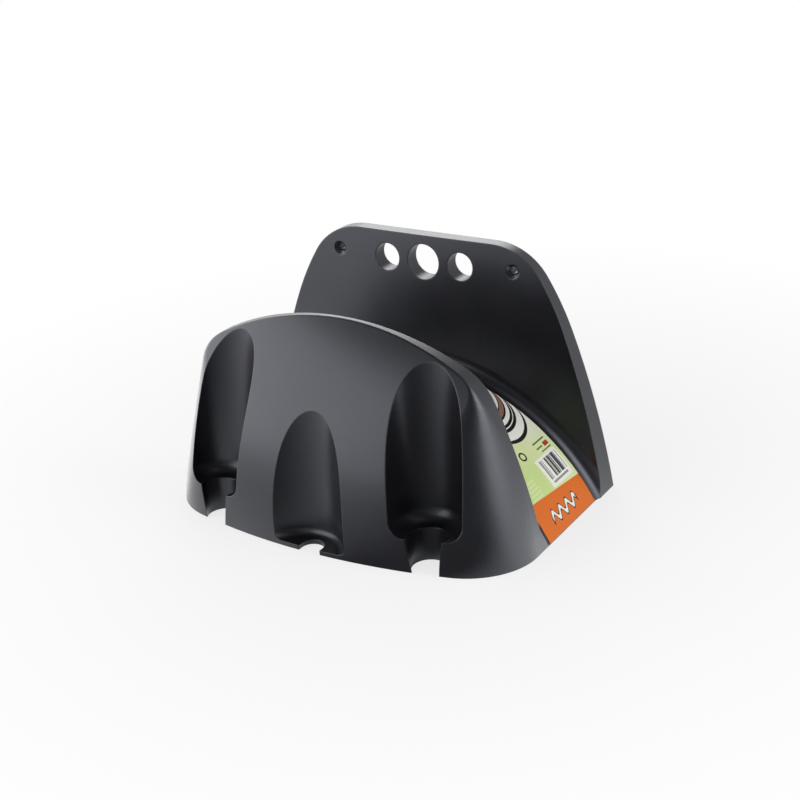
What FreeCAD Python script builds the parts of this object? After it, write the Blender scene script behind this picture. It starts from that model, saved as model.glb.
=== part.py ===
import FreeCAD, Part
import math
import os
import Sketcher
from FreeCAD import Placement, Rotation, Vector

os.makedirs("parts", exist_ok=True)

# Garden hose hanger: one hollow moulding, and a printed label wrapped over its saddle.
# X runs along the wall, Y points into the wall and Z is up. The wall is the plane y = 0,
# so a setback is a distance from the wall. Every height is measured from the foot of the
# moulding, and check_and_write moves the finished pieces down to put the origin midway
# between the two screws. Lengths are in mm, angles in degrees.
SIZES = {
    "wall": 3.0,
    "plate_half_width": 145.1,
    "plate_height": 176.0,
    "plate_side_radius": 616.0,
    "plate_shoulder_radius": 210.0,
    "plate_shoulder_drop": 59.5,
    "plate_corner_radius": 47.0,
    "plate_top_depth": 10.5,
    "plate_lean": 4.9,
    "front_half_width": 143.5,
    "front_reach": 180.4,
    "side_center_drop": 101.4,
    "rim_height": 152.5,
    "rim_arc_radius": 217.0,
    "shoulder_radius": 40.0,
    "face_bow_radius": 440.0,
    "face_profile_radius": 205.0,
    "face_upright_height": 11.5,
    "corner_foot_radius": 48.0,
    "corner_shoulder_radius": 26.0,
    "rim_round": 1.5,
    "saddle_radius": 165.5,
    "saddle_center_drop": 82.5,
    "trough_setback": 120.5,
    "trough_draft": 10.5,
    "trough_front_chamfer": 6.0,
    "trough_rear_fillet": 10.0,
    "niche_offset": 86.0,
    "niche_setback": 163.0,
    "niche_radius": 26.0,
    "niche_floor": 24.5,
    "niche_floor_fillet": 10.0,
    "niche_lean_inward": 2.6,
    "niche_lean_back": 3.1,
    "neck_top_radius": 14.5,
    "neck_foot_radius": 12.5,
    "slot_top_width": 25.3,
    "slot_foot_width": 16.6,
    "center_niche_radius": 32.0,
    "center_niche_setback": 193.0,
    "center_floor": 3.5,
    "center_floor_fillet": 5.0,
    "notch_radius": 8.7,
    "notch_setback": 176.4,
    "hole_drop": 19.6,
    "center_hole_radius": 13.1,
    "side_hole_radius": 10.3,
    "hole_gap": 7.3,
    "tube_wall": 2.5,
    "screw_inset": 72.1,
    "screw_drop": 17.6,
    "screw_hole_radius": 3.0,
    "countersink_radius": 6.5,
    "countersink_depth": 3.0,
    "screw_boss_wall": 5.0,
    "rib_offset": 44.0,
    "rib_thickness": 2.5,
    "rib_foot": 18.0,
    "label_front": 98.5,
    "label_rear": 28.5,
    "label_thickness": 0.3,
    "label_foot_gap": 0.6,
}
# Blanks and cutters run past the object before it is trimmed: a little below the foot,
# well below it, above the rim and plate, and out to the front and sides.
SKIRT = 12.0
PIT = 40.0
SKY = 230.0
REACH = 260.0
# The cutters for a neck run this far above its niche's floor.
OVERRUN = 2.0
# A blank or bore for the plate is deeper than the plate's face and the fillet at its foot.
PLATE_RUN = f"plate_top_depth + (plate_height + {PIT}) * tan(plate_lean) + trough_rear_fillet"
# The holes and screws keep their places from the plate's top edge and its widest point.
HOLE_HEIGHT = "(plate_height - hole_drop)"
SIDE_HOLE_X = "(center_hole_radius + hole_gap + side_hole_radius)"
SCREW_HEIGHT = "(plate_height - screw_drop)"
SCREW_X = "(plate_half_width - screw_inset)"

doc = FreeCAD.newDocument("hose_hanger")
sheet = doc.addObject("Spreadsheet::Sheet", "Sizes")
for row, (alias, number) in enumerate(SIZES.items(), start=1):
    sheet.set(f"A{row}", alias)
    sheet.set(f"B{row}", str(number))
    sheet.setAlias(f"B{row}", alias)
doc.recompute()

FACING_FRONT = Rotation(Vector(1, 0, 0), 90)
FACING_SIDE = Rotation(Vector(1, 1, 1), 120)
START, END, CENTER = range(1, 4)
# An edge this close to a plane lies in it.
NEAR = 0.01
# Behind a rounded foot the hidden side has a chamfer that touches the round's offset. Its
# leg is this share of the offset's radius.
TANGENT_LEG = 2 - math.sqrt(2)


def size(alias):
    return float(sheet.get(alias))


def cells(text):
    """The text as an expression, with each size turned into its cell of the sheet."""
    out = ""
    word = ""
    for char in text + " ":
        if char.isalnum() or char == "_":
            word += char
            continue
        out += f"Sizes.{word}" if word in SIZES else word
        out += char
        word = ""
    return out.strip()


def bind(thing, rules):
    for path, text in rules.items():
        thing.setExpression(path, cells(text))
    return thing


def add(kind, name, rules):
    return bind(doc.addObject(kind, name), rules)


def cut(name, base, tool):
    result = doc.addObject("Part::Cut", name)
    result.Base = base
    result.Tool = tool
    return result


def join(name, shapes):
    result = doc.addObject("Part::MultiFuse", name)
    result.Shapes = shapes
    return result


def overlap(name, shapes):
    result = doc.addObject("Part::MultiCommon", name)
    result.Shapes = shapes
    return result


def arc(center, radius, start, end):
    circle = Part.Circle(Vector(center[0], center[1], 0), Vector(0, 0, 1), radius)
    return Part.ArcOfCircle(circle, start, end)


def line(first, second):
    return Part.LineSegment(Vector(first[0], first[1], 0), Vector(second[0], second[1], 0))


def drawn_value(outline, kind, where):
    """The radius or place that a piece was drawn with, as its constraint's first value."""
    if kind == "Radius":
        return outline.Geometry[where[0]].Radius
    point = outline.getPoint(*where)
    return point.x if kind == "DistanceX" else point.y


def sketch(name, rotation, pieces, smooth, rules):
    """A closed outline: pieces joined end to start, smooth at the listed joints."""
    outline = doc.addObject("Sketcher::SketchObject", name)
    outline.Placement = Placement(Vector(), rotation)
    outline.addGeometry(pieces, False)
    for index in range(len(pieces)):
        following = (index + 1) % len(pieces)
        kind = "Tangent" if index in smooth else "Coincident"
        outline.addConstraint(Sketcher.Constraint(kind, index, END, following, START))
    for order, (kind, where, text) in enumerate(rules):
        if text is None:
            outline.addConstraint(Sketcher.Constraint(kind, *where))
            continue
        value = drawn_value(outline, kind, where)
        index = outline.addConstraint(Sketcher.Constraint(kind, *where, value))
        label = f"rule_{order}"
        outline.renameConstraint(index, label)
        outline.setExpression(f"Constraints.{label}", cells(text))
    return outline


def mirrored_angles(*angles):
    return [math.pi - angle for angle in reversed(angles)]


def height_angle(center, radius, height):
    """Where a circle reaches a height, on its right-hand side."""
    return math.asin((height - center[1]) / radius)


def arch_centers():
    """Centres of the side, shoulder and rim arcs of the front body, seen from the front."""
    side_radius = size("plate_side_radius")
    drop = size("side_center_drop")
    side_center = (size("front_half_width") - math.sqrt(side_radius ** 2 - drop ** 2), -drop)
    top_radius = size("rim_arc_radius")
    top_center = (0.0, size("rim_height") - top_radius)
    shoulder = size("shoulder_radius")
    span = math.hypot(side_center[0], side_center[1] - top_center[1])
    far = side_radius - shoulder
    near = top_radius - shoulder
    along = (far ** 2 - near ** 2 + span ** 2) / (2 * span)
    across = math.sqrt(far ** 2 - along ** 2)
    ux = -side_center[0] / span
    uz = (top_center[1] - side_center[1]) / span
    shoulder_center = (side_center[0] + ux * along - uz * across,
                       side_center[1] + uz * along + ux * across)
    return side_center, shoulder_center, top_center


def arch_outline(name, inset, inset_text):
    """The front body seen from the front: upright sides, round shoulders, arched rim."""
    side_radius = size("plate_side_radius")
    shoulder = size("shoulder_radius")
    top_radius = size("rim_arc_radius")
    side_center, shoulder_center, top_center = arch_centers()
    joint = math.atan2(shoulder_center[1] - side_center[1],
                       shoulder_center[0] - side_center[0])
    crown = math.atan2(shoulder_center[1] - top_center[1],
                       shoulder_center[0] - top_center[0])
    foot = height_angle(side_center, side_radius - inset, -SKIRT)
    left_side = (-side_center[0], side_center[1])
    left_shoulder = (-shoulder_center[0], shoulder_center[1])
    foot_x = side_center[0] + (side_radius - inset) * math.cos(foot)
    pieces = [
        arc(side_center, side_radius - inset, foot, joint),
        arc(shoulder_center, shoulder - inset, joint, crown),
        arc(top_center, top_radius - inset, crown, math.pi - crown),
        arc(left_shoulder, shoulder - inset, *mirrored_angles(joint, crown)),
        arc(left_side, side_radius - inset, *mirrored_angles(foot, joint)),
        line((-foot_x, -SKIRT), (foot_x, -SKIRT)),
    ]
    center_x = "front_half_width - sqrt(plate_side_radius ^ 2 - side_center_drop ^ 2)"
    rules = [
        ("Radius", (0,), f"plate_side_radius - {inset_text}"),
        ("Radius", (4,), f"plate_side_radius - {inset_text}"),
        ("Radius", (1,), f"shoulder_radius - {inset_text}"),
        ("Radius", (3,), f"shoulder_radius - {inset_text}"),
        ("Radius", (2,), f"rim_arc_radius - {inset_text}"),
        ("DistanceX", (0, CENTER), center_x),
        ("DistanceY", (0, CENTER), "-side_center_drop"),
        ("DistanceX", (4, CENTER), f"-({center_x})"),
        ("DistanceY", (4, CENTER), "-side_center_drop"),
        ("DistanceX", (2, CENTER), "0"),
        ("DistanceY", (2, CENTER), "rim_height - rim_arc_radius"),
        ("DistanceY", (5, START), str(-SKIRT)),
        ("DistanceY", (5, END), str(-SKIRT)),
    ]
    return sketch(name, FACING_FRONT, pieces, (0, 1, 2, 3), rules)


def plate_outline(name, inset, inset_text):
    """The back plate seen from the front: flaring sides, round corners, level top."""
    side_radius = size("plate_side_radius")
    drop = size("side_center_drop")
    upper_radius = size("plate_shoulder_radius")
    corner_radius = size("plate_corner_radius")
    top = size("plate_height")
    side_center = (size("plate_half_width") - math.sqrt(side_radius ** 2 - drop ** 2), -drop)
    joint = height_angle(side_center, side_radius, top - size("plate_shoulder_drop"))
    step = side_radius - upper_radius
    upper_center = (side_center[0] + step * math.cos(joint),
                    side_center[1] + step * math.sin(joint))
    corner_height = top - corner_radius
    turn = height_angle(upper_center, upper_radius - corner_radius, corner_height)
    corner_x = upper_center[0] + (upper_radius - corner_radius) * math.cos(turn)
    foot = height_angle(side_center, side_radius - inset, -SKIRT)
    foot_x = side_center[0] + (side_radius - inset) * math.cos(foot)
    quarter = math.pi / 2
    pieces = [
        arc(side_center, side_radius - inset, foot, joint),
        arc(upper_center, upper_radius - inset, joint, turn),
        arc((corner_x, corner_height), corner_radius - inset, turn, quarter),
        line((corner_x, top - inset), (-corner_x, top - inset)),
        arc((-corner_x, corner_height), corner_radius - inset, *mirrored_angles(turn, quarter)),
        arc((-upper_center[0], upper_center[1]), upper_radius - inset,
            *mirrored_angles(joint, turn)),
        arc((-side_center[0], side_center[1]), side_radius - inset,
            *mirrored_angles(foot, joint)),
        line((-foot_x, -SKIRT), (foot_x, -SKIRT)),
    ]
    center_x = "plate_half_width - sqrt(plate_side_radius ^ 2 - side_center_drop ^ 2)"
    share = "(plate_side_radius - plate_shoulder_radius) / plate_side_radius"
    rise = "(plate_height - plate_shoulder_drop + side_center_drop)"
    upper_z = f"{rise} * {share} - side_center_drop"
    rules = [
        ("Radius", (0,), f"plate_side_radius - {inset_text}"),
        ("Radius", (6,), f"plate_side_radius - {inset_text}"),
        ("Radius", (1,), f"plate_shoulder_radius - {inset_text}"),
        ("Radius", (5,), f"plate_shoulder_radius - {inset_text}"),
        ("Radius", (2,), f"plate_corner_radius - {inset_text}"),
        ("Radius", (4,), f"plate_corner_radius - {inset_text}"),
        ("DistanceX", (0, CENTER), center_x),
        ("DistanceY", (0, CENTER), "-side_center_drop"),
        ("DistanceX", (6, CENTER), f"-({center_x})"),
        ("DistanceY", (6, CENTER), "-side_center_drop"),
        ("DistanceY", (1, CENTER), upper_z),
        ("DistanceY", (5, CENTER), upper_z),
        ("Horizontal", (3,), None),
        ("DistanceY", (3, START), f"plate_height - {inset_text}"),
        ("DistanceY", (7, START), str(-SKIRT)),
        ("DistanceY", (7, END), str(-SKIRT)),
    ]
    return sketch(name, FACING_FRONT, pieces, (0, 1, 2, 3, 4, 5), rules)


def face_outline(name, inset, inset_text):
    """Half section of the bowed face: its leaning arc, closed to the axis of the bow."""
    radius = size("face_profile_radius")
    center = (radius - size("front_reach"), size("face_upright_height"))
    axis = size("face_bow_radius") - size("front_reach")
    top = size("rim_height") + SKIRT
    upper = math.pi - math.asin((top - center[1]) / (radius - inset))
    lower = math.pi + math.asin((SKIRT + center[1]) / (radius - inset))
    face = arc(center, radius - inset, upper, lower)
    pieces = [
        face,
        line((face.EndPoint.x, -SKIRT), (axis, -SKIRT)),
        line((axis, -SKIRT), (axis, top)),
        line((axis, top), (face.StartPoint.x, top)),
    ]
    rules = [
        ("Radius", (0,), f"face_profile_radius - {inset_text}"),
        ("DistanceX", (0, CENTER), "face_profile_radius - front_reach"),
        ("DistanceY", (0, CENTER), "face_upright_height"),
        ("DistanceX", (1, END), "face_bow_radius - front_reach"),
        ("Vertical", (2,), None),
        ("DistanceY", (1, START), str(-SKIRT)),
        ("DistanceY", (2, START), str(-SKIRT)),
        ("DistanceY", (0, START), f"rim_height + {SKIRT}"),
        ("Horizontal", (3,), None),
    ]
    return sketch(name, FACING_SIDE, pieces, (), rules)


def extrude(name, outline, direction, length):
    solid = doc.addObject("Part::Extrusion", name)
    solid.Base = outline
    solid.DirMode = "Custom"
    solid.Dir = direction
    solid.LengthFwd = length
    solid.Solid = True
    return solid


def is_bent(edge):
    return not isinstance(edge.Curve, (Part.Line, Part.LineSegment))


def middle(edge):
    return edge.valueAt((edge.FirstParameter + edge.LastParameter) / 2)


def eased(kind, name, base, chosen):
    """Fillet or chamfer the edges for which chosen gives a pair of sizes, at start and end."""
    doc.recompute()
    edges = []
    for number, edge in enumerate(base.Shape.Edges, start=1):
        sizes = chosen(edge)
        if sizes:
            edges.append((number, sizes[0], sizes[1]))
    result = doc.addObject(kind, name)
    result.Base = base
    result.Edges = edges
    doc.recompute()
    return result


def front_block(name, right_half, inset, inset_text):
    """Half of the arch run forward to the bowed face, its corner softer towards the foot."""
    arch = extrude(f"{name}_arch", arch_outline(f"{name}_arch_outline", inset, inset_text),
                   Vector(0, -1, 0), REACH)
    bow = doc.addObject("Part::Revolution", f"{name}_bow")
    bow.Source = face_outline(f"{name}_face_outline", inset, inset_text)
    bow.Axis = Vector(0, 0, 1)
    bind(bow, {"Base.y": "face_bow_radius - front_reach"})
    bow.Angle = 90
    bow.Symmetric = True
    bow.Solid = True
    block = overlap(f"{name}_block", [arch, bow, right_half])
    foot = size("corner_foot_radius") - inset
    shoulder = size("corner_shoulder_radius") - inset
    rim = size("rim_round")
    shoulder_height = arch_centers()[1][1] + (size("shoulder_radius") - inset) / 2

    def corner(edge):
        point = middle(edge)
        on_a_cut = point.x < NEAR or point.z < NEAR - SKIRT
        if on_a_cut or not is_bent(edge) or point.y > -size("trough_setback") / 2:
            return None
        ends = [edge.valueAt(edge.FirstParameter), edge.valueAt(edge.LastParameter)]
        if edge.Orientation == "Reversed":
            ends.reverse()

        def radius(spot):
            if spot.z < 0:
                return foot
            if spot.z < shoulder_height:
                return shoulder
            return rim
        return radius(ends[0]), radius(ends[1])
    return eased("Part::Fillet", name, block, corner)


def plate_block(name, right_half, inset, inset_text):
    """Half of the plate's outline run forward from the wall, past its leaning face."""
    run = extrude(f"{name}_run", plate_outline(f"{name}_outline", inset, inset_text),
                  Vector(0, -1, 0), 1)
    bind(run, {"LengthFwd": PLATE_RUN})
    return overlap(name, [run, right_half])


def trough_space(name, inset, inset_text):
    """The ring-shaped space over the saddle, turned about the saddle's own axis."""
    rear_lean = math.radians(size("plate_lean"))
    front_lean = math.radians(size("trough_draft"))
    floor = size("saddle_radius") - inset - size("saddle_center_drop")
    rear_text = f"{inset_text} / cos(plate_lean) - plate_top_depth - tan(plate_lean)"
    front_text = f"-trough_setback - {inset_text} / cos(trough_draft) + tan(trough_draft)"
    floor_text = f"(saddle_radius - {inset_text} - saddle_center_drop)"

    def rear(height):
        drop = size("plate_height") - height
        return inset / math.cos(rear_lean) - size("plate_top_depth") - math.tan(rear_lean) * drop

    def front(height):
        drop = size("rim_height") - height
        return math.tan(front_lean) * drop - size("trough_setback") - inset / math.cos(front_lean)
    fillet = size("trough_rear_fillet") + inset
    leg = size("trough_front_chamfer") + inset * TANGENT_LEG
    leg_text = f"(trough_front_chamfer + {inset_text} * {TANGENT_LEG})"
    fillet_text = f"(trough_rear_fillet + {inset_text})"
    front_on_floor = (front(floor) + leg, floor)
    front_on_wall = (front(floor) - leg * math.sin(front_lean), floor + leg * math.cos(front_lean))
    rules = [
        ("DistanceX", (0, START), f"{front_text} * (rim_height - {floor_text}) + {leg_text}"),
        ("DistanceY", (0, START), floor_text),
        ("DistanceY", (0, END), floor_text),
        ("DistanceX", (2, END), f"{rear_text} * (plate_height - {SKY})"),
        ("DistanceY", (2, END), str(SKY)),
        ("DistanceX", (4, START), f"{front_text} * (rim_height - {SKY})"),
        ("DistanceY", (4, START), str(SKY)),
        ("DistanceX", (5, START), f"{front_text} * (rim_height - {floor_text})"
                                  f" - {leg_text} * sin(trough_draft)"),
        ("DistanceY", (5, START), f"{floor_text} + {leg_text} * cos(trough_draft)"),
    ]
    if inset == 0:
        center = (rear(floor + fillet) - fillet / math.cos(rear_lean), floor + fillet)
        rear_foot = arc(center, fillet, -math.pi / 2, -rear_lean)
        rear_on_floor = (center[0], floor)
        rear_on_wall = (center[0] + fillet * math.cos(rear_lean),
                        center[1] - fillet * math.sin(rear_lean))
        rules += [
            ("Radius", (1,), fillet_text),
            ("DistanceX", (1, CENTER), f"{rear_text} * (plate_height - {floor_text} - {fillet_text})"
                                       f" - {fillet_text} / cos(plate_lean)"),
        ]
    else:
        bevel = fillet * TANGENT_LEG
        bevel_text = f"{fillet_text} * {TANGENT_LEG}"
        rear_on_floor = (rear(floor) - bevel, floor)
        rear_on_wall = (rear(floor) + bevel * math.sin(rear_lean),
                        floor + bevel * math.cos(rear_lean))
        rear_foot = line(rear_on_floor, rear_on_wall)
        corner_text = f"{rear_text} * (plate_height - {floor_text})"
        rules += [
            ("DistanceX", (0, END), f"{corner_text} - {bevel_text}"),
            ("DistanceX", (1, END), f"{corner_text} + {bevel_text} * sin(plate_lean)"),
            ("DistanceY", (1, END), f"{floor_text} + {bevel_text} * cos(plate_lean)"),
        ]
    pieces = [
        line(front_on_floor, rear_on_floor),
        rear_foot,
        line(rear_on_wall, (rear(SKY), SKY)),
        line((rear(SKY), SKY), (front(SKY), SKY)),
        line((front(SKY), SKY), front_on_wall),
        line(front_on_wall, front_on_floor),
    ]
    space = doc.addObject("Part::Revolution", name)
    smooth = (0, 1) if inset == 0 else ()
    space.Source = sketch(f"{name}_section", FACING_SIDE, pieces, smooth, rules)
    space.Axis = Vector(0, 1, 0)
    bind(space, {"Base.z": "-saddle_center_drop"})
    space.Angle = 360
    space.Solid = True
    return space


def niche_space(name, inset, inset_text):
    """An outer niche: a round hollow that leans inwards and back, with a rounded floor."""
    hollow = add("Part::Cylinder", f"{name}_sharp", {
        "Radius": f"niche_radius + {inset_text}",
        "Height": "rim_height",
    })
    lean_in = math.tan(math.radians(size("niche_lean_inward")))
    lean_back = math.tan(math.radians(size("niche_lean_back")))
    upright = Vector(-lean_in, lean_back, 1).normalize()
    hollow.Placement = Placement(Vector(), Rotation(Vector(0, 0, 1), upright))
    bind(hollow, {
        "Placement.Base.x": "niche_offset",
        "Placement.Base.y": "-niche_setback",
        "Placement.Base.z": f"niche_floor - {inset_text}",
    })

    def floor_edge(edge):
        fillet = size("niche_floor_fillet") + inset
        leg = fillet if inset == 0 else fillet * TANGENT_LEG
        low = middle(edge).z < size("rim_height") / 2
        return (leg, leg) if is_bent(edge) and low else None
    kind = "Part::Fillet" if inset == 0 else "Part::Chamfer"
    return eased(kind, f"{name}_hollow", hollow, floor_edge)


def neck_space(name, inset_text):
    """The tapered keyhole neck between the niche's floor and the foot."""
    taper = "(neck_top_radius - neck_foot_radius) / niche_floor"
    return add("Part::Cone", name, {
        "Radius1": f"neck_foot_radius - {SKIRT} * {taper} + {inset_text}",
        "Radius2": f"neck_top_radius + {OVERRUN} * {taper} + {inset_text}",
        "Height": f"niche_floor + {SKIRT} + {OVERRUN}",
        "Placement.Base.x": "niche_offset",
        "Placement.Base.y": "-niche_setback",
        "Placement.Base.z": str(-SKIRT),
    })


def neck_slot(name):
    """The slot that opens the neck to the front, narrower at the foot."""
    half_foot = size("slot_foot_width") / 2
    half_top = size("slot_top_width") / 2
    top = size("niche_floor") + OVERRUN
    spread = (half_top - half_foot) / size("niche_floor")
    at = size("niche_offset")
    low = half_foot - spread * SKIRT
    high = half_foot + spread * top
    pieces = [
        line((at - low, -SKIRT), (at + low, -SKIRT)),
        line((at + low, -SKIRT), (at + high, top)),
        line((at + high, top), (at - high, top)),
        line((at - high, top), (at - low, -SKIRT)),
    ]
    step = "(slot_top_width - slot_foot_width) / 2 / niche_floor"
    low_text = f"(slot_foot_width / 2 - {step} * {SKIRT})"
    high_text = f"(slot_foot_width / 2 + {step} * (niche_floor + {OVERRUN}))"
    rules = [
        ("DistanceX", (0, START), f"niche_offset - {low_text}"),
        ("DistanceX", (0, END), f"niche_offset + {low_text}"),
        ("DistanceX", (1, END), f"niche_offset + {high_text}"),
        ("DistanceX", (2, END), f"niche_offset - {high_text}"),
        ("DistanceY", (0, START), str(-SKIRT)),
        ("DistanceY", (0, END), str(-SKIRT)),
        ("DistanceY", (1, END), f"niche_floor + {OVERRUN}"),
        ("DistanceY", (2, END), f"niche_floor + {OVERRUN}"),
    ]
    outline = sketch(f"{name}_outline", FACING_FRONT, pieces, (), rules)
    outline.setExpression("Placement.Base.y", cells("-niche_setback"))
    return extrude(name, outline, Vector(0, -1, 0), REACH)


def center_space(name, inset, inset_text):
    """The shallow centre niche, part of an upright round hollow in front of the face."""
    foot = "center_floor" if inset == 0 else str(-SKIRT)
    hollow = add("Part::Cylinder", f"{name}_sharp", {
        "Radius": f"center_niche_radius + {inset_text}",
        "Height": "rim_height",
        "Placement.Base.y": "-center_niche_setback",
        "Placement.Base.z": foot,
    })
    if inset:
        return hollow

    def floor_round(edge):
        fillet = size("center_floor_fillet")
        low = middle(edge).z < size("center_floor") + NEAR
        return (fillet, fillet) if is_bent(edge) and low else None
    return eased("Part::Fillet", name, hollow, floor_round)


def notch_space():
    """The round-backed notch through the floor of the centre niche."""
    round_back = add("Part::Cylinder", "notch_round", {
        "Radius": "notch_radius",
        "Height": f"{SKIRT} + center_floor + center_floor_fillet",
        "Placement.Base.y": "-notch_setback",
        "Placement.Base.z": str(-SKIRT),
    })
    mouth = add("Part::Box", "notch_mouth", {
        "Length": "2 * notch_radius",
        "Width": "notch_setback",
        "Height": f"{SKIRT} + center_floor + center_floor_fillet",
        "Placement.Base.x": "-notch_radius",
        "Placement.Base.y": "-2 * notch_setback",
        "Placement.Base.z": str(-SKIRT),
    })
    return join("notch", [round_back, mouth])


def bore(name, radius_text, x_text, z_text):
    """A round hole or tube square to the wall, from behind it to past the plate's face."""
    hole = add("Part::Cylinder", name, {"Radius": radius_text, "Height": f"{SKIRT} + {PLATE_RUN}"})
    hole.Placement = Placement(Vector(0, SKIRT, 0), FACING_FRONT)
    return bind(hole, {"Placement.Base.x": x_text, "Placement.Base.z": z_text})


def countersink():
    """The cone that seats a screw head, square to the wall at the plate's face."""
    lean = "screw_drop * tan(plate_lean)"
    seat = add("Part::Cone", "screw_seat", {
        "Radius1": "countersink_radius + (countersink_radius - screw_hole_radius)",
        "Radius2": "screw_hole_radius",
        "Height": "2 * countersink_depth",
    })
    seat.Placement = Placement(Vector(), Rotation(Vector(1, 0, 0), -90))
    return bind(seat, {
        "Placement.Base.x": SCREW_X,
        "Placement.Base.y": f"-plate_top_depth - {lean} - countersink_depth",
        "Placement.Base.z": SCREW_HEIGHT,
    })


def rib():
    """One upright stiffener under the saddle, square to the wall."""
    return add("Part::Box", "rib", {
        "Length": "rib_thickness",
        "Width": str(REACH),
        "Height": "saddle_radius - saddle_center_drop - rib_foot",
        "Placement.Base.x": "rib_offset - rib_thickness / 2",
        "Placement.Base.y": str(-REACH),
        "Placement.Base.z": "rib_foot",
    })


def hanger():
    """The moulding: outer form less its inner space, then holes, then both halves."""
    right_half = add("Part::Box", "right_half", {
        "Length": str(REACH), "Width": str(2 * REACH), "Height": str(SKY + PIT)})
    right_half.Placement.Base = Vector(0, -REACH, -PIT)
    outer = cut("outer_form", join("outer_blank", [
        front_block("front_outer", right_half, 0.0, "0"),
        plate_block("plate_outer", right_half, 0.0, "0"),
    ]), trough_space("trough", 0.0, "0"))
    inner_blank = join("inner_blank", [
        front_block("front_inner", right_half, size("wall"), "wall"),
        plate_block("plate_inner", right_half, size("wall"), "wall"),
    ])
    kept_walls = join("kept_walls", [
        trough_space("trough_skin", size("wall"), "wall"),
        niche_space("niche_skin", size("wall"), "wall"),
        neck_space("neck_skin", "wall"),
        center_space("center_skin", size("wall"), "wall"),
        bore("center_tube", "center_hole_radius + tube_wall", "0", HOLE_HEIGHT),
        bore("side_tube", "side_hole_radius + tube_wall", SIDE_HOLE_X, HOLE_HEIGHT),
        bore("screw_boss", "screw_hole_radius + screw_boss_wall", SCREW_X, SCREW_HEIGHT),
        rib(),
    ])
    shell = cut("shell", outer, cut("inner_space", inner_blank, kept_walls))
    openings = join("openings", [
        niche_space("niche", 0.0, "0"),
        neck_space("neck", "0"),
        neck_slot("neck_mouth"),
        center_space("center_niche", 0.0, "0"),
        notch_space(),
        bore("center_hole", "center_hole_radius", "0", HOLE_HEIGHT),
        bore("side_hole", "side_hole_radius", SIDE_HOLE_X, HOLE_HEIGHT),
        bore("screw_hole", "screw_hole_radius", SCREW_X, SCREW_HEIGHT),
        countersink(),
    ])
    below_foot = add("Part::Box", "below_foot",
                     {"Length": str(2 * REACH), "Width": str(2 * REACH), "Height": str(SKY)})
    below_foot.Placement.Base = Vector(-REACH, -REACH, -SKY)
    half = cut("half_hanger", cut("open_shell", shell, openings), below_foot)
    other_half = doc.addObject("Part::Mirroring", "other_half")
    other_half.Source = half
    other_half.Normal = Vector(1, 0, 0)
    whole = join("hanger_body", [half, other_half])
    whole.Refine = True
    whole.Label = "hanger_body"
    return whole


def label_wrap():
    """The printed strip that lies on the saddle from foot to foot."""
    band = {"Height": "label_front - label_rear"}
    outside = add("Part::Cylinder", "label_outside",
                  {"Radius": "saddle_radius + label_thickness", **band})
    inside = add("Part::Cylinder", "label_inside", {"Radius": "saddle_radius", **band})
    for roll in (outside, inside):
        roll.Placement = Placement(Vector(), FACING_FRONT)
        bind(roll, {"Placement.Base.y": "-label_rear",
                    "Placement.Base.z": "-saddle_center_drop"})
    clear = add("Part::Box", "label_room", {
        "Length": str(2 * REACH),
        "Width": str(2 * REACH),
        "Height": str(SKY),
        "Placement.Base.x": str(-REACH),
        "Placement.Base.y": str(-REACH),
        "Placement.Base.z": "label_foot_gap",
    })
    strip = overlap("label", [cut("label_ring", outside, inside), clear])
    strip.Label = "label"
    return strip


def check_and_write(pieces):
    for piece in pieces:
        bind(piece, {"Placement.Base.z": f"-{SCREW_HEIGHT}"})
    doc.recompute()
    for thing in doc.Objects:
        if "Invalid" in thing.State or "Error" in thing.State:
            raise RuntimeError(f"{thing.Name} failed: {thing.State}")
    for piece in pieces:
        if piece.Shape.isNull() or not piece.Shape.isValid():
            raise RuntimeError(f"{piece.Label} has no valid shape")
    for piece in pieces:
        piece.Shape.exportStep(f"parts/{piece.Label}.step")


check_and_write([hanger(), label_wrap()])
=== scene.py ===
import bmesh
import bpy
from mathutils import Matrix, Vector


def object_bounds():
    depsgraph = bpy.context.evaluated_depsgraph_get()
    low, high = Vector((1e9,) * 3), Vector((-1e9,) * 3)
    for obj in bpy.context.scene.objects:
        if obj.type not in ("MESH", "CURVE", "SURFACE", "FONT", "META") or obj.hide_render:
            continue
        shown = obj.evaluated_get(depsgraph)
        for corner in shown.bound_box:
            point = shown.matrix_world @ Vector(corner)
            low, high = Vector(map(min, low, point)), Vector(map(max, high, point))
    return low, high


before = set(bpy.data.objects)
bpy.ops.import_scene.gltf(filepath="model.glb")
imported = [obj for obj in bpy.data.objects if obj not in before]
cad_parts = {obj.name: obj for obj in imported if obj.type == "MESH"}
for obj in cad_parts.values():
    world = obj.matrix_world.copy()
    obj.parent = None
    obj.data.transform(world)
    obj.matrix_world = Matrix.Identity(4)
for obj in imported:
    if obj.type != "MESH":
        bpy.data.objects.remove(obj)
cad_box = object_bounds()

MM = 0.001
FOOT = cad_box[0].z

# The label lies on the saddle, a round whose axis runs along Y below the foot.
SADDLE_RADIUS = 165.8 * MM
SADDLE_AXIS = FOOT - 82.5 * MM


# Small helpers for shader trees

def new_material(name):
    material = bpy.data.materials.new(name)
    material.use_nodes = True
    tree = material.node_tree
    return material, tree, tree.nodes["Principled BSDF"]


def plug(tree, socket, value):
    if isinstance(value, bpy.types.NodeSocket):
        tree.links.new(value, socket)
    else:
        socket.default_value = value


def maths(tree, operation, first, second=0.0):
    step = tree.nodes.new("ShaderNodeMath")
    step.operation = operation
    plug(tree, step.inputs[0], first)
    plug(tree, step.inputs[1], second)
    return step.outputs[0]


def vector_maths(tree, operation, first, second=(0.0, 0.0, 0.0)):
    step = tree.nodes.new("ShaderNodeVectorMath")
    step.operation = operation
    plug(tree, step.inputs[0], first)
    plug(tree, step.inputs[1], second)
    return step.outputs["Value" if operation == "LENGTH" else "Vector"]


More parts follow.
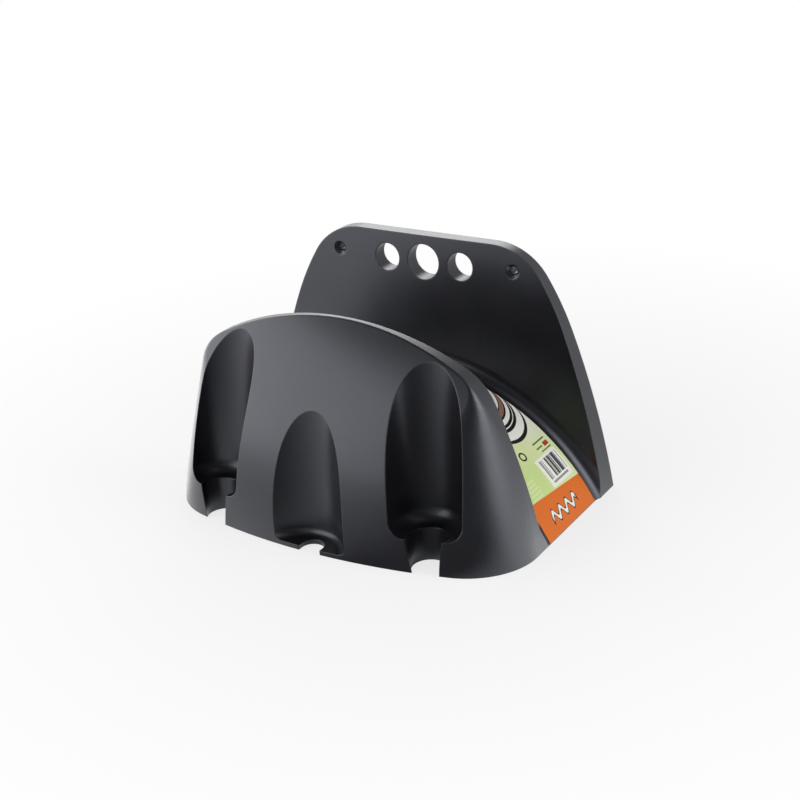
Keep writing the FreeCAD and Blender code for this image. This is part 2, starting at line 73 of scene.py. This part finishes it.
def axes_of(tree, vector):
    parts = tree.nodes.new("ShaderNodeSeparateXYZ")
    plug(tree, parts.inputs[0], vector)
    return parts.outputs


def blend(tree, share, below, above):
    """The colour below, covered by the colour above where share is 1."""
    mix = tree.nodes.new("ShaderNodeMix")
    mix.data_type = "RGBA"
    plug(tree, mix.inputs["Factor"], share)
    plug(tree, mix.inputs["A"], below)
    plug(tree, mix.inputs["B"], above)
    return mix.outputs["Result"]


def ramp(tree, position, stops, interpolation="LINEAR"):
    made = tree.nodes.new("ShaderNodeValToRGB")
    made.color_ramp.interpolation = interpolation
    elements = made.color_ramp.elements
    while len(elements) > 1:
        elements.remove(elements[-1])
    elements[0].position, elements[0].color = stops[0]
    for at, color in stops[1:]:
        elements.new(at).color = color
    plug(tree, made.inputs["Fac"], position)
    return made.outputs["Color"]


def noise(tree, scale, detail=2.0, roughness=0.5):
    made = tree.nodes.new("ShaderNodeTexNoise")
    plug(tree, made.inputs["Vector"], object_place(tree))
    made.inputs["Scale"].default_value = scale
    made.inputs["Detail"].default_value = detail
    made.inputs["Roughness"].default_value = roughness
    return made.outputs["Fac"]


def spread(tree, value, low, high, to_low, to_high):
    """value's range from low to high laid over to_low to to_high, and held there beyond it."""
    made = tree.nodes.new("ShaderNodeMapRange")
    plug(tree, made.inputs["Value"], value)
    for name, number in zip(("From Min", "From Max", "To Min", "To Max"),
                            (low, high, to_low, to_high)):
        made.inputs[name].default_value = number
    return made.outputs["Result"]


def under(tree, value, limit):
    """1 where value is below the limit, and 0 elsewhere."""
    return maths(tree, "LESS_THAN", value, limit)


def over(tree, value, limit):
    return maths(tree, "GREATER_THAN", value, limit)


def both(tree, first, second):
    """1 where both shares are 1, or one share cut down by the other."""
    return maths(tree, "MULTIPLY", first, second)


def within(tree, value, low, high):
    return both(tree, over(tree, value, low), under(tree, value, high))


def object_place(tree):
    return tree.nodes.new("ShaderNodeTexCoord").outputs["Object"]


def srgb(red, green, blue):
    """A colour given as it looks on a screen, from 0 to 255, in linear light."""
    def linear(value):
        share = value / 255
        return share / 12.92 if share <= 0.04045 else ((share + 0.055) / 1.055) ** 2.4
    return (linear(red), linear(green), linear(blue), 1.0)


# The plastic. A noise scale is in cells to the metre, and a noise range is the part of the noise
# that counts.
DARK_SLATE = srgb(18, 18, 21)
LIGHT_SLATE = srgb(24, 24, 28)
FLECK = srgb(50, 51, 58)
FLECK_SHARE = 0.3
COOL_SHINE = (0.86, 0.89, 1.0, 1.0)
PLASTIC_IOR = 1.5
SMOOTH_FLOW = 0.29
ROUGH_FLOW = 0.35
FLOW_SCALE = 18.0
FLOW_RANGE = (0.3, 0.7)
FLECK_SCALE = 900.0
FLECK_RANGE = (0.55, 0.75)
GRAIN_SCALE = 2400.0
GRAIN_STRENGTH = 0.12
GRAIN_DEPTH = 0.05 * MM
MOULDED_EDGE = 1.1 * MM
EDGE_SAMPLES = 6


def moulded_slate():
    """Dark slate plastic with a fine spark-eroded grain and faint flow marks."""
    material, tree, shader = new_material("moulded_slate")
    flow = noise(tree, FLOW_SCALE, detail=4.0)
    flecks = spread(tree, noise(tree, FLECK_SCALE, roughness=0.6),
                    *FLECK_RANGE, 0.0, FLECK_SHARE)
    grain = noise(tree, GRAIN_SCALE)
    tone = blend(tree, spread(tree, flow, *FLOW_RANGE, 0.0, 1.0), DARK_SLATE, LIGHT_SLATE)
    plug(tree, shader.inputs["Base Color"], blend(tree, flecks, tone, FLECK))
    plug(tree, shader.inputs["Roughness"],
         spread(tree, flow, *FLOW_RANGE, SMOOTH_FLOW, ROUGH_FLOW))
    shader.inputs["IOR"].default_value = PLASTIC_IOR
    shader.inputs["Specular Tint"].default_value = COOL_SHINE
    soft_edge = tree.nodes.new("ShaderNodeBevel")
    soft_edge.samples = EDGE_SAMPLES
    soft_edge.inputs["Radius"].default_value = MOULDED_EDGE
    bump = tree.nodes.new("ShaderNodeBump")
    bump.inputs["Strength"].default_value = GRAIN_STRENGTH
    bump.inputs["Distance"].default_value = GRAIN_DEPTH
    plug(tree, bump.inputs["Height"], grain)
    plug(tree, bump.inputs["Normal"], soft_edge.outputs["Normal"])
    plug(tree, shader.inputs["Normal"], bump.outputs["Normal"])
    return material


# The label's print is set out in mm by along, its length down the saddle from the crown, and
# across, its distance from the wall. Both sides of the saddle have the same print. A box is
# given as low and high along, then low and high across.
PAPER = srgb(250, 249, 240)
INK = srgb(20, 21, 20)
PALE_GREEN = srgb(232, 242, 188)
LEAF_GREEN = srgb(210, 231, 153)
RULE_GREEN = srgb(98, 128, 66)
PALE_RULE = srgb(228, 240, 190)
RING_GREEN = srgb(34, 44, 22)
BRICK_RED = srgb(190, 62, 52)
ORANGE = srgb(229, 114, 34)
COCOA = srgb(150, 112, 100)
BAR_GREY = srgb(70, 72, 78)
STRIP_GREY = srgb(150, 152, 150)

FADE_ALONG = (95.0, 128.0)
FADE_ACROSS = (40.0, 66.0)
LEAST_FADE = 0.45
FIBRE_SCALE = 1500.0
FIBRE_RANGE = (0.4, 0.7)
FIBRE_SHARE = 0.05
FILM_ROUGHNESS = 0.42
FILM_SPECULAR = 0.25

COIL_MIDDLE = 53.0
COIL_RADIUS = 25.0
COIL_HALF_WIDTH = 24.9
COIL_LEVELS = (30.0, 82.0)
# Where each band of the coil starts, as a share of the way from its first level to its last
COIL_BANDS = (
    (0.0, PAPER), (0.10, INK), (0.14, PAPER), (0.22, INK), (0.25, PAPER), (0.36, INK),
    (0.38, PAPER), (0.48, INK), (0.50, COCOA), (0.58, INK), (0.61, PAPER), (0.68, INK),
    (0.73, PAPER), (0.745, INK), (0.80, PAPER), (0.94, INK),
)

PATCHES = (
    ((116.8, 120.2, 33.0, 39.0), BRICK_RED),
    ((113.6, 114.8, 33.0, 49.0), RULE_GREEN),
    ((118.0, 119.2, 41.0, 49.0), RULE_GREEN),
    ((121.6, 122.6, 33.0, 46.0), RULE_GREEN),
)
RING_ALONG = 116.0
RING_ACROSS = 66.5
RING_INSIDE = 2.236
RING_OUTSIDE = 3.674
PALE_RULES = (131.0, 145.0, 75.0, 88.0)
RULE_PITCH = 3.0
RULE_SHARE = 0.3

PANEL = (124.0, 147.0, 32.0, 61.0)
BARS = (126.0, 141.5, 34.0, 59.0)
STRIP = (143.0, 144.6, 36.0, 57.0)
BARS_PER_MM = 1.9
GAP_SHARE = 0.45

ORANGE_START = 152.9
ORANGE_SLOPE = -0.083
WAVE_MIDDLE = 161.5
WAVE_HEIGHT = 3.0
WAVE_RADIANS_PER_MM = 0.62
# Half the line's width, where it starts and ends across, and its colour
WAVE_LINES = ((2.9, 45.0, 83.0, INK), (1.7, 46.2, 81.8, PAPER))


def in_box(tree, along, across, box):
    low, high, near, far = box
    return both(tree, within(tree, along, low, high), within(tree, across, near, far))


def coil_bands(tree, color, along, across):
    """Stacked bowed bands of cream, ink and cocoa, like the turns of a coiled hose."""
    off = maths(tree, "SUBTRACT", across, COIL_MIDDLE)
    off_squared = maths(tree, "MULTIPLY", off, off)
    dip = maths(tree, "SQRT", maths(tree, "SUBTRACT", COIL_RADIUS ** 2, off_squared))
    level = maths(tree, "SUBTRACT", along, dip)
    first, last = COIL_LEVELS
    bands = ramp(tree, spread(tree, level, first, last, 0.0, 1.0), COIL_BANDS, "CONSTANT")
    coil = both(tree, under(tree, maths(tree, "ABSOLUTE", off), COIL_HALF_WIDTH),
                under(tree, level, last))
    return blend(tree, coil, color, bands)


def small_marks(tree, color, along, across):
    """A plain red patch, green and pale rules, and a dark ring."""
    for box, tint in PATCHES:
        color = blend(tree, in_box(tree, along, across, box), color, tint)
    down = maths(tree, "SUBTRACT", along, RING_ALONG)
    aside = maths(tree, "SUBTRACT", across, RING_ACROSS)
    squared = maths(tree, "ADD", maths(tree, "MULTIPLY", down, down),
                    maths(tree, "MULTIPLY", aside, aside))
    ring = within(tree, squared, RING_INSIDE ** 2, RING_OUTSIDE ** 2)
    color = blend(tree, ring, color, RING_GREEN)
    way = maths(tree, "FRACT", maths(tree, "DIVIDE", along, RULE_PITCH))
    rules = both(tree, in_box(tree, along, across, PALE_RULES), under(tree, way, RULE_SHARE))
    return blend(tree, rules, color, PALE_RULE)


def bar_panel(tree, color, along, across):
    """A white panel with upright bars of uneven width and a plain grey strip at their foot."""
    color = blend(tree, in_box(tree, along, across, PANEL), color, PAPER)
    pick = tree.nodes.new("ShaderNodeTexWhiteNoise")
    pick.noise_dimensions = "1D"
    bar_number = maths(tree, "FLOOR", maths(tree, "MULTIPLY", across, BARS_PER_MM))
    plug(tree, pick.inputs["W"], bar_number)
    inked = over(tree, pick.outputs["Value"], GAP_SHARE)
    color = blend(tree, both(tree, in_box(tree, along, across, BARS), inked), color, BAR_GREY)
    return blend(tree, in_box(tree, along, across, STRIP), color, STRIP_GREY)


def orange_field(tree, color, along, across):
    """The orange foot of the label, with a white wave in a dark rim."""
    start = maths(tree, "ADD", ORANGE_START, maths(tree, "MULTIPLY", across, ORANGE_SLOPE))
    color = blend(tree, over(tree, along, start), color, ORANGE)
    turn = maths(tree, "MULTIPLY", across, WAVE_RADIANS_PER_MM)
    swing = maths(tree, "MULTIPLY", maths(tree, "SINE", turn), WAVE_HEIGHT)
    from_middle = maths(tree, "SUBTRACT", along, WAVE_MIDDLE)
    off = maths(tree, "ABSOLUTE", maths(tree, "SUBTRACT", from_middle, swing))
    for half, start, end, tint in WAVE_LINES:
        line = both(tree, under(tree, off, half), within(tree, across, start, end))
        color = blend(tree, line, color, tint)
    return color


def printed_film():
    """The label's print on a satin film."""
    material, tree, shader = new_material("printed_film")
    place = axes_of(tree, object_place(tree))
    above_axis = maths(tree, "SUBTRACT", place["Z"], SADDLE_AXIS)
    turn = maths(tree, "ARCTAN2", place["X"], above_axis)
    along = maths(tree, "ABSOLUTE", maths(tree, "MULTIPLY", turn, SADDLE_RADIUS / MM))
    across = maths(tree, "MULTIPLY", place["Y"], -1 / MM)

    fade = both(tree, spread(tree, along, *FADE_ALONG, 0.0, 1.0),
                spread(tree, across, *FADE_ACROSS, LEAST_FADE, 1.0))
    color = ramp(tree, fade, ((0.0, PAPER), (0.3, PALE_GREEN), (1.0, LEAF_GREEN)))
    for layer in (coil_bands, small_marks, bar_panel, orange_field):
        color = layer(tree, color, along, across)
    fibres = spread(tree, noise(tree, FIBRE_SCALE), *FIBRE_RANGE, 0.0, FIBRE_SHARE)
    plug(tree, shader.inputs["Base Color"], blend(tree, fibres, color, INK))
    shader.inputs["Roughness"].default_value = FILM_ROUGHNESS
    shader.inputs["Specular IOR Level"].default_value = FILM_SPECULAR
    return material


def dress(node, material):
    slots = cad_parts[node].data.materials
    slots.clear()
    slots.append(material)


# The studio, in metres and watts, with the camera fitted to the photograph. Its lens and sensor
# are in mm.
OBJECT_MIDDLE = Vector((0.0, -90.0, 90.0)) * MM + Vector((0, 0, FOOT))
CAMERA_PLACE = Vector((570.5, -931.7, 522.8)) * MM + Vector((0, 0, FOOT))
CAMERA_RIGHT = Vector((0.8504, 0.5230, -0.0571))
CAMERA_UP = Vector((-0.1664, 0.3703, 0.9139))
CAMERA_FORWARD = Vector((-0.4991, 0.7677, -0.4019))
LENS = 70.355
SENSOR = 36.0
NEAREST_SEEN = 0.05
FARTHEST_SEEN = 50.0

# Each lamp's name, place from the object's middle, width, height and power
LAMPS = (
    ("key_light", (-0.79, -0.69, 0.37), 1.9, 1.0, 14.3),
    ("high_side_light", (0.75, 0.25, 0.95), 1.2, 1.2, 2.8),
    ("back_light", (-0.6, 0.92, 0.62), 1.0, 0.5, 6.0),
    ("side_light", (1.08, 0.05, 0.42), 0.5, 1.0, 6.0),
)

# How bright the painted reflections of the room are, and the parts of a unit direction's X, Y and
# Z over which one brightness turns into the next
DIM = 0.24
LEFT = 1.45
FAR_RIGHT = 2.8
BEHIND = 0.85
HIGH_UP = 0.15
LEFT_TO_DIM = (-0.85, 0.7)
DIM_TO_FAR_RIGHT = (-0.3, 0.05)
FAR_RIGHT_TO_BEHIND = (0.3, 0.8)
LEVEL_TO_HIGH_UP = (0.55, 0.82)

WHITE = (1.0, 1.0, 1.0, 1.0)
PALE_PAINT = (0.8, 0.8, 0.8, 1.0)
PAINT_ROUGHNESS = 0.9
FLOOR_REACH = 6.0
FLOOR_GAP = 0.2 * MM
# Middle of the floor's painted reflection: its glow for rays off a surface is laid out by
# direction from here.
FRONT_CORNERS = (0.0, -0.14, 0.0)
# The floor shows its shadow near the object, and runs out to plain white between these distances.
SHADOW_REACH = (0.22, 0.55)
NEAR_WHITE = 0.75
ROOM_LIGHT = 0.15


def look_from_camera():
    data = bpy.data.cameras.new("camera")
    data.lens = LENS
    data.sensor_width = SENSOR
    data.clip_start = NEAREST_SEEN
    data.clip_end = FARTHEST_SEEN
    camera = bpy.data.objects.new("camera", data)
    bpy.context.scene.collection.objects.link(camera)
    turned = Matrix((CAMERA_RIGHT, CAMERA_UP, -CAMERA_FORWARD)).transposed()
    camera.matrix_world = Matrix.Translation(CAMERA_PLACE) @ turned.to_4x4()
    bpy.context.scene.camera = camera


def soft_box(name, offset, width, height, power):
    data = bpy.data.lights.new(name, "AREA")
    data.shape = "RECTANGLE"
    data.size = width
    data.size_y = height
    data.energy = power
    lamp = bpy.data.objects.new(name, data)
    lamp.visible_camera = False
    bpy.context.scene.collection.objects.link(lamp)
    lamp.location = OBJECT_MIDDLE + Vector(offset)
    lamp.rotation_mode = "QUATERNION"
    lamp.rotation_quaternion = (-Vector(offset)).to_track_quat("-Z", "Y")


def ray_kinds(tree):
    """1 for rays that show the background to the camera, then 1 for those off a surface."""
    path = tree.nodes.new("ShaderNodeLightPath")
    shown = maths(tree, "MAXIMUM", path.outputs["Is Camera Ray"],
                  path.outputs["Is Transmission Ray"])
    return shown, path.outputs["Is Glossy Ray"]


def painted_reflection_room(tree, direction):
    """A painted reflection, for rays off a surface only: bright on the left, at the far right
    and behind, and dim high up and between the front and the right."""
    level = vector_maths(tree, "MULTIPLY", direction, (1.0, 1.0, 0.0))
    heading = axes_of(tree, vector_maths(tree, "NORMALIZE", level))
    left = spread(tree, heading["X"], *LEFT_TO_DIM, LEFT, DIM)
    far_right = spread(tree, heading["Y"], *DIM_TO_FAR_RIGHT, DIM, FAR_RIGHT)
    behind = spread(tree, heading["Y"], *FAR_RIGHT_TO_BEHIND, FAR_RIGHT, BEHIND)
    around = maths(tree, "MAXIMUM", left, maths(tree, "MINIMUM", far_right, behind))
    rise = axes_of(tree, direction)["Z"]
    return both(tree, around, spread(tree, rise, *LEVEL_TO_HIGH_UP, 1.0, HIGH_UP))


def floor_paint_and_painted_reflections():
    """Pale paint that keeps the shadow near the object and is plain white further out. For rays
    off a surface it glows with the painted reflection room, though it is no lamp.
    """
    material, tree, shader = new_material("floor_paint_and_painted_reflections")
    shader.inputs["Base Color"].default_value = PALE_PAINT
    shader.inputs["Roughness"].default_value = PAINT_ROUGHNESS
    shader.inputs["Specular IOR Level"].default_value = 0.0
    shown, mirrored = ray_kinds(tree)
    away = vector_maths(tree, "LENGTH", object_place(tree))
    white_share = spread(tree, away, *SHADOW_REACH, NEAR_WHITE, 1.0)
    # Painted reflection: for rays off a surface the floor glows brighter or dimmer by its place
    # around FRONT_CORNERS.
    from_corners = vector_maths(tree, "SUBTRACT", object_place(tree), FRONT_CORNERS)
    glow = tree.nodes.new("ShaderNodeEmission")
    plug(tree, glow.inputs["Strength"],
         maths(tree, "ADD", shown, both(tree, mirrored, painted_reflection_room(tree, from_corners))))
    mix = tree.nodes.new("ShaderNodeMixShader")
    plug(tree, mix.inputs["Fac"], maths(tree, "ADD", both(tree, shown, white_share), mirrored))
    plug(tree, mix.inputs[1], shader.outputs[0])
    plug(tree, mix.inputs[2], glow.outputs[0])
    plug(tree, tree.nodes["Material Output"].inputs["Surface"], mix.outputs[0])
    return material


def pale_floor():
    shape = bmesh.new()
    bmesh.ops.create_grid(shape, x_segments=1, y_segments=1, size=FLOOR_REACH)
    bmesh.ops.translate(shape, verts=shape.verts, vec=(0, 0, FOOT - FLOOR_GAP))
    mesh = bpy.data.meshes.new("floor")
    shape.to_mesh(mesh)
    shape.free()
    mesh.materials.append(floor_paint_and_painted_reflections())
    floor = bpy.data.objects.new("floor", mesh)
    bpy.context.scene.collection.objects.link(floor)


def white_world():
    world = bpy.data.worlds.new("studio")
    bpy.context.scene.world = world
    world.use_nodes = True
    tree = world.node_tree
    shown, mirrored = ray_kinds(tree)
    direction = tree.nodes.new("ShaderNodeTexCoord").outputs["Generated"]
    # Painted reflection: the camera sees plain white, while rays off a surface see the painted
    # reflection room, up to FAR_RIGHT times white.
    seen = maths(tree, "ADD", shown, both(tree, mirrored, painted_reflection_room(tree, direction)))
    background = tree.nodes["Background"]
    background.inputs["Color"].default_value = WHITE
    plug(tree, background.inputs["Strength"], maths(tree, "MAXIMUM", seen, ROOM_LIGHT))


dress("hanger_body", moulded_slate())
dress("label", printed_film())
look_from_camera()
pale_floor()
white_world()
for lamp in LAMPS:
    soft_box(*lamp)
bpy.context.scene.view_settings.view_transform = "Standard"
